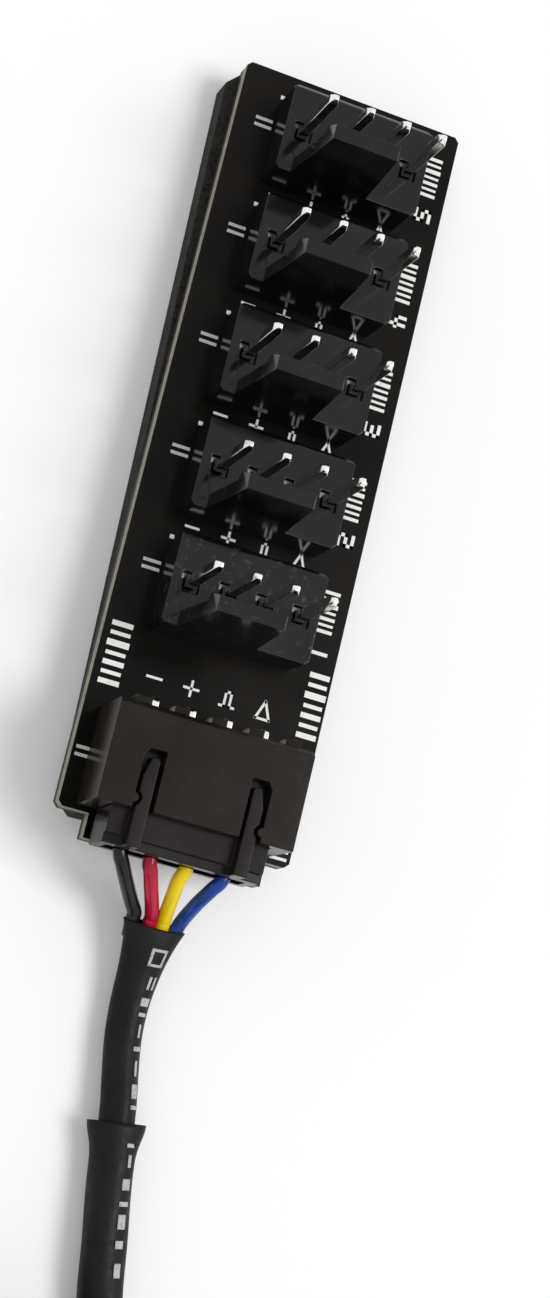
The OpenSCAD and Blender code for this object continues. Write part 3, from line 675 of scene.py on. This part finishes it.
hard = {
    "board": ("board", 0.05, "board"),
    "input_socket": ("socket", 0.1, "socket_plastic"),
    "input_plug": ("plug", 0.1, "plug_plastic"),
    "power_plug": ("plug", 0.18, "plug_plastic"),
    "fan_plug": ("plug", 0.12, "plug_plastic"),
    "coil_tie": ("tie", 0.08, "tie"),
    "power_pin_black": ("tin", 0.06, "pin_metal"),
    "power_pin_red": ("tin", 0.06, "pin_metal"),
    "fan_contact_yellow": ("crimp", 0.04, "contact_metal"),
    "fan_contact_blue": ("crimp", 0.04, "contact_metal"),
}
for number in range(1, 6):
    hard[f"outlet_{number}_housing"] = ("dusty" if number == 1 else "outlet", 0.07, "outlet_plastic")
    for way in range(1, 5):
        hard[f"outlet_{number}_pin_{way}"] = ("tin", 0.05, "pin_metal")
for way in range(1, 5):
    hard[f"input_pin_{way}"] = ("tin", 0.05, "pin_metal")
    hard[f"contact_{way}"] = ("crimp", 0.04, "contact_metal")
hardPieces = {node: softened(node, *spec, dissolve="housing" not in node) for node, spec in hard.items()}
onCord = ["input_plug", "power_plug", "fan_plug", "coil_tie", *farEnds.values()]
onCord += [f"contact_{way}" for way in range(1, 5)]
cordPieces += [hardPieces[node] for node in onCord]
nodes["solder_joints"].data.materials.clear()
nodes["solder_joints"].data.materials.append(looks["solder"])
print("hard pieces made:", len(hardPieces))


# Foam pad: the node's outline with soft edges
pad = softened("foam_pad", "foam", 0.25, "foam", segments=3)


# Print on the board: numbers and marks are lines of points in a square with sides of 1

digits = {
    1: [[(0.5, 0), (0.5, 1)]],
    2: [[(0, 1), (1, 1), (1, 0.5), (0, 0.5), (0, 0), (1, 0)]],
    3: [[(0, 1), (1, 1), (1, 0), (0, 0)], [(0.2, 0.5), (1, 0.5)]],
    4: [[(0, 1), (0, 0.4), (1, 0.4)], [(0.75, 1), (0.75, 0)]],
    5: [[(1, 1), (0, 1), (0, 0.5), (1, 0.5), (1, 0), (0, 0)]],
}
marks = {
    "minus": [[(0, 0.5), (1, 0.5)]],
    "plus": [[(0, 0.5), (1, 0.5)], [(0.5, 0), (0.5, 1)]],
    "pulse": [[(0, 0.1), (0.3, 0.1), (0.3, 0.9), (0.7, 0.9), (0.7, 0.1), (1, 0.1)]],
    "wedge": [[(0, 0), (0.5, 1), (1, 0), (0, 0)]],
}
# Start and width of each bar of a group, as shares of its length
bars = [(0.0, 0.08), (0.16, 0.06), (0.3, 0.1), (0.48, 0.06), (0.62, 0.08), (0.78, 0.06), (0.92, 0.08)]


# Segments of a mark placed with its lower left corner at a point, and its two sides along u and v
def strokes(lines, corner, u, v):
    corner, u, v = (np.asarray(value, float) for value in (corner, u, v))
    found = []
    for line in lines:
        p = corner + np.asarray(line, float) @ np.stack([u, v])
        found += list(zip(p[:-1], p[1:]))
    return found


# Each segment becomes a bar: its ends run on by half the width
def barMesh(name, segments, widths, low, high):
    a = np.array([s[0] for s in segments])
    b = np.array([s[1] for s in segments])
    w = np.asarray(widths, float)[:, None] / 2
    along = (b - a) / np.linalg.norm(b - a, axis=1, keepdims=True)
    side = np.stack([-along[:, 1], along[:, 0]], -1) * w
    a = a - along * w
    b = b + along * w
    flat = np.stack([a - side, b - side, b + side, a + side], 1)
    heights = np.array([low, high])[None, :, None, None]
    points = np.concatenate([np.broadcast_to(flat[:, None], (len(flat), 2, 4, 2)),
                             np.broadcast_to(heights, (len(flat), 2, 4, 1))], -1)
    box = np.array([[3, 2, 1, 0], [4, 5, 6, 7], [0, 1, 5, 4], [1, 2, 6, 5], [2, 3, 7, 6], [3, 0, 4, 7]])
    faces = (np.arange(len(flat))[:, None, None] * 8 + box).reshape(-1, 4)
    return meshFrom(name, points.reshape(-1, 3), faces)


printing = {
    "stroke": 0.17,
    "thickness": (-0.005, 0.02),  # from and to, over the board
    "marks": {"size": 0.85, "front": 3.54},  # front is the distance from the pins to the marks
    "firstMarks": {"size": 0.95, "front": 5.92},
    "tall": 1.25,  # height of the pulse and the wedge over that of the plus
    "number": {"x": 6.05, "back": -0.85, "wide": 0.7, "long": 1.0, "stroke": 0.24},
    "rowBars": {"x": 6.5, "wide": 1.0, "from": 3.1, "to": 0.2},
    "dot": {"x": -4.98, "back": 3.39, "stroke": 0.28},
    "pairs": {"x": -6.35, "back": 0.95, "stroke": 0.22},
    "pairSize": (1.0, 0.5),
    "sideBars": [(-6.68, 1.1, -12.85, -17.05), (7.0, 1.05, -12.35, -16.8)],  # middle, width, start, end
    "sidePairs": [(-7.55, -21.9, 0.22), (6.55, -24.85, 0.2)],  # corner and stroke
}


# Marks and number of each outlet, and the groups of bars and pairs of lines at the board's edges
def boardPrint(spec):
    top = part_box("board")[1].z / mm
    found = []
    thick = []

    def put(lines, corner, u, v, width):
        new = strokes(lines, corner, u, v)
        found.extend(new)
        thick.extend([width] * len(new))

    def barGroup(x, wide, start, end):
        span = end - start
        for at, width in bars:
            y = start + (at + width / 2) * span
            put([[(0, 0), (1, 0)]], (x - wide / 2, y), (wide, 0), (0, 1), abs(width * span))

    def pairOfLines(x, y, width):
        wide, high = spec["pairSize"]
        put([[(0, 0), (1, 0)], [(0, 1), (1, 1)]], (x, y), (wide, 0), (0, high), width)

    number, dot, pairs = spec["number"], spec["dot"], spec["pairs"]
    group = spec["rowBars"]
    for outlet in range(1, 6):
        row = centre(f"outlet_{outlet}_pin_1").y
        beside = spec["firstMarks" if outlet == 1 else "marks"]
        size = beside["size"]
        for way, mark in enumerate(("minus", "plus", "pulse", "wedge"), 1):
            x = centre(f"outlet_{outlet}_pin_{way}").x
            high = size * (1.0 if mark in ("minus", "plus") else spec["tall"])
            corner = (x - size / 2, row - beside["front"] - high / 2)
            put(marks[mark], corner, (size, 0), (0, high), spec["stroke"])
        put(digits[outlet], (number["x"], row + number["back"]), (0, -number["wide"]), (number["long"], 0),
            number["stroke"])
        barGroup(group["x"], group["wide"], row + group["from"], row + group["to"])
        put([[(0, 0), (0.01, 0)]], (dot["x"], row + dot["back"]), (1, 0), (0, 1), dot["stroke"])
        pairOfLines(pairs["x"], row + pairs["back"], pairs["stroke"])
    for sides in spec["sideBars"]:
        barGroup(*sides)
    for sides in spec["sidePairs"]:
        pairOfLines(*sides)
    low, high = spec["thickness"]
    mesh = barMesh("board_print", found, thick, top + low, top + high)
    return addPiece("board_print", mesh, "print", smooth=False)


boardPrint(printing)


# Print on the sleeve and the cable: patches of the same tube surface, a hair further out.
# Each patch has its start and length along the line, and its middle and sweep around it in degrees
def tubePrint(name, line, wide, high, patches, lift=0.03, thickness=0.02, count=6):
    s = lengthAlong(line)
    points = []
    faces = []
    for start, length, angle, sweep in patches:
        at = np.linspace(start, start + length, count)
        along = np.stack([np.interp(at, s, line[:, i]) for i in range(3)], -1)
        w = np.interp(at, s, wide)[:, None] + lift
        h = np.interp(at, s, high)[:, None] + lift
        angles = np.radians(np.linspace(angle - sweep / 2, angle + sweep / 2, count))
        heading, sideways, upwards = directions(np.vstack([along, 2 * along[-1] - along[-2]]))
        c = (np.cos(angles)[None, :] * w)[..., None] * sideways[:-1, None, :]
        u = (np.sin(angles)[None, :] * h)[..., None] * upwards[:-1, None, :]
        patch = (along[:, None, :] + c + u).reshape(-1, 3)
        i, k = np.meshgrid(np.arange(count - 1), np.arange(count - 1), indexing="ij")
        a = (i * count + k).ravel() + count * count * len(points)
        faces += np.stack([a, a + 1, a + count + 1, a + count], -1).tolist()
        points.append(patch)
    mesh = meshFrom(name, np.concatenate(points), faces)
    made = addPiece(name, mesh, "ink")
    skin = made.modifiers.new("thickness", "SOLIDIFY")
    skin.thickness = thickness * mm
    skin.offset = 0
    return made


sleeveLine = smoothLine(sleeve["route"], sleeve["steps"])
sleeveWide, sleeveHigh = sleeveForm(sleeve, lengthAlong(sleeveLine))[1:]
sleeveMarks = [(1.2, 0.18, 112, 36), (2.2, 0.18, 116, 40), (1.2, 1.18, 97, 7), (1.2, 1.18, 131, 7),
               (3.1, 0.9, 116, 8), (3.1, 0.9, 132, 8), (4.6, 0.6, 124, 32), (5.7, 0.25, 126, 30),
               (6.5, 0.9, 127, 9), (8.0, 0.3, 128, 30), (8.9, 1.0, 128, 10), (10.4, 0.9, 129, 26),
               (11.7, 0.25, 130, 28)]
cordPieces.append(tubePrint("sleeve_print", sleeveLine, sleeveWide, sleeveHigh, sleeveMarks))
cableHalf = np.full(len(cableLine), cable["diameter"] / 2 + 0.03)  # clear of the lumps
cableMarks = [(1.2, 0.25, 124, 30), (1.9, 0.8, 122, 10), (3.4, 0.7, 119, 24), (4.8, 0.3, 118, 28),
              (5.6, 0.9, 117, 24), (7.2, 0.5, 116, 24), (8.6, 0.9, 116, 20)]
cordPieces.append(tubePrint("cable_print", cableLine, cableHalf, cableHalf, cableMarks))

print("cord declared with", len(cordPieces), "pieces")


# Floor, world and lamps

studio = {
    "floor": 0.97,
    "half": 0.9,  # half the floor's side, in metres
    "drop": 0.05,  # mm, the floor lies this far below the part
    "white": 1.0,
    "shown": 0.15,  # share of plain white in what the camera sees of the floor
    "world": 0.58,
    "suns": {  # strength, direction it comes from, width in degrees
        "key": (1.75, (0.55, 0.0, 0.835), 28),
    },
}


def makeFloor(spec):
    g = Graph("floor")
    seen = g.add("ShaderNodeLightPath", out="Is Camera Ray")
    shine = g.add("ShaderNodeLightPath", out="Is Glossy Ray")
    through = g.add("ShaderNodeLightPath", out="Is Transmission Ray")
    plain = g.add("ShaderNodeBsdfDiffuse", None, {"Color": rgb((spec["floor"],) * 3)})
    glow = g.add("ShaderNodeEmission", None, {"Color": rgb((1, 1, 1)), "Strength": spec["white"]})
    share = (seen + shine + through) * spec["shown"]
    both = g.add("ShaderNodeMixShader", None, {0: share, 1: plain, 2: glow})
    g.add("ShaderNodeOutputMaterial", None, {"Surface": both})
    half = spec["half"]
    mesh = bpy.data.meshes.new("floor")
    corners = [(-half, -half, 0), (half, -half, 0), (half, half, 0), (-half, half, 0)]
    mesh.from_pydata(corners, [], [(0, 1, 2, 3)])
    mesh.materials.append(g.material)
    made = bpy.data.objects.new("floor", mesh)
    made.location.z = -spec["drop"] * mm
    scene.collection.objects.link(made)


def makeWorld(spec):
    world = bpy.data.worlds.new("studio")
    world.use_nodes = True
    scene.world = world
    tree = world.node_tree
    tree.nodes.clear()
    path = tree.nodes.new("ShaderNodeLightPath")
    seen = tree.nodes.new("ShaderNodeBackground")
    seen.inputs["Color"].default_value = rgb((1, 1, 1))
    seen.inputs["Strength"].default_value = spec["white"]
    light = tree.nodes.new("ShaderNodeBackground")
    light.inputs["Color"].default_value = rgb((1, 1, 1))
    light.inputs["Strength"].default_value = spec["world"]
    both = tree.nodes.new("ShaderNodeMixShader")
    out = tree.nodes.new("ShaderNodeOutputWorld")
    share = path.outputs["Is Camera Ray"]
    for ray in ("Is Glossy Ray", "Is Transmission Ray"):
        total = tree.nodes.new("ShaderNodeMath")
        tree.links.new(share, total.inputs[0])
        tree.links.new(path.outputs[ray], total.inputs[1])
        share = total.outputs[0]
    tree.links.new(share, both.inputs[0])
    tree.links.new(light.outputs[0], both.inputs[1])
    tree.links.new(seen.outputs[0], both.inputs[2])
    tree.links.new(both.outputs[0], out.inputs[0])


def addSun(name, strength, comesFrom, wide):
    data = bpy.data.lights.new(name, "SUN")
    data.energy = strength
    data.angle = math.radians(wide)
    made = bpy.data.objects.new(name, data)
    made.rotation_euler = Vector(comesFrom).to_track_quat("Z", "Y").to_euler()
    scene.collection.objects.link(made)


makeFloor(studio)
makeWorld(studio)
for name, spec in studio["suns"].items():
    addSun(name, *spec)
print("stage made")
